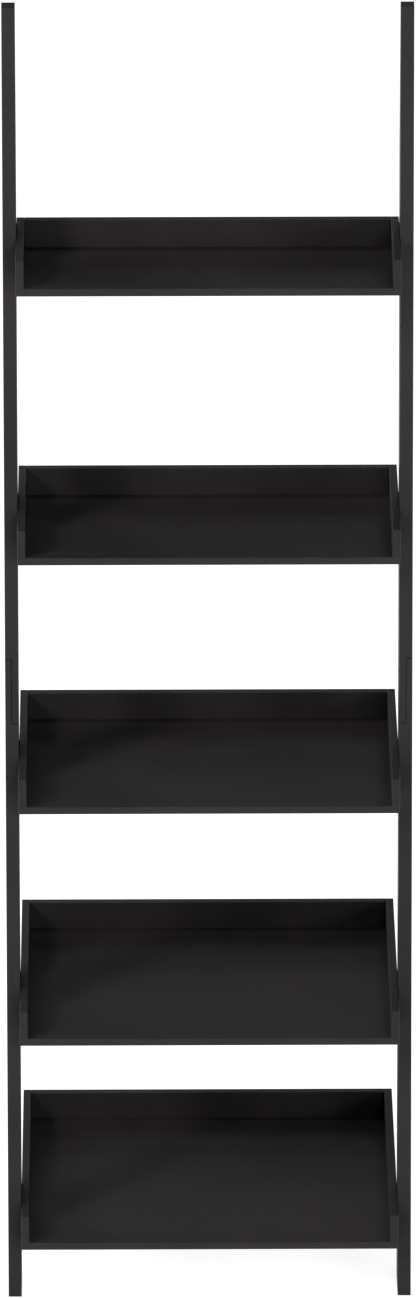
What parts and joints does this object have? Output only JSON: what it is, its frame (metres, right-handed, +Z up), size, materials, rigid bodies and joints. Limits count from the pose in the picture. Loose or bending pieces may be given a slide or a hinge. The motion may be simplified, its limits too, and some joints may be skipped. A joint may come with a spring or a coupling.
{
  "type": "ladder shelf",
  "caption": "Leaning ladder shelf: open-front trays, deeper towards the floor, bolted between leaning side rails that are half-lapped at mid height, in satin black paint.",
  "frame": {"origin": "middle of the overall box, on the floor", "axes": "+Z up, -Y towards the user, +Y towards the wall it leans on, +X to the right as seen from the front"},
  "size_m": [0.61, 0.432, 1.937],
  "materials": {
    "painted_rail": "satin black paint over solid wood, fine brush and roller texture",
    "painted_tray_board": "satin black paint over board, fine roller texture",
    "beech_dowel": "raw beech",
    "zinc_insert": "zinc plated",
    "black_steel": "black oxide, satin",
    "black_plastic": "matt moulded"
  },
  "bodies": {
    "root": {"left_lower_rail": "painted_rail", "right_lower_rail": "painted_rail", "left_upper_rail": "painted_rail", "right_upper_rail": "painted_rail", "left_splice_bolts": "black_steel", "right_splice_bolts": "black_steel", "left_splice_inserts": "zinc_insert", "right_splice_inserts": "zinc_insert", "left_foot_glide": "black_plastic", "right_foot_glide": "black_plastic", "left_wall_bracket": "black_steel", "right_wall_bracket": "black_steel", "left_bracket_screw": "black_steel", "right_bracket_screw": "black_steel", "bottom_tray_floor": "painted_tray_board", "lower_tray_floor": "painted_tray_board", "middle_tray_floor": "painted_tray_board", "upper_tray_floor": "painted_tray_board", "top_tray_floor": "painted_tray_board", "bottom_tray_back": "painted_tray_board", "lower_tray_back": "painted_tray_board", "middle_tray_back": "painted_tray_board", "upper_tray_back": "painted_tray_board", "top_tray_back": "painted_tray_board", "bottom_tray_left_side": "painted_tray_board", "lower_tray_left_side": "painted_tray_board", "middle_tray_left_side": "painted_tray_board", "upper_tray_left_side": "painted_tray_board", "top_tray_left_side": "painted_tray_board", "bottom_tray_right_side": "painted_tray_board", "lower_tray_right_side": "painted_tray_board", "middle_tray_right_side": "painted_tray_board", "upper_tray_right_side": "painted_tray_board", "top_tray_right_side": "painted_tray_board", "bottom_tray_dowels": "beech_dowel", "lower_tray_dowels": "beech_dowel", "middle_tray_dowels": "beech_dowel", "upper_tray_dowels": "beech_dowel", "top_tray_dowels": "beech_dowel", "bottom_tray_bolts": "black_steel", "lower_tray_bolts": "black_steel", "middle_tray_bolts": "black_steel", "upper_tray_bolts": "black_steel", "top_tray_bolts": "black_steel", "bottom_tray_inserts": "zinc_insert", "lower_tray_inserts": "zinc_insert", "middle_tray_inserts": "zinc_insert", "upper_tray_inserts": "zinc_insert", "top_tray_inserts": "zinc_insert"}
  },
  "joints": []
}
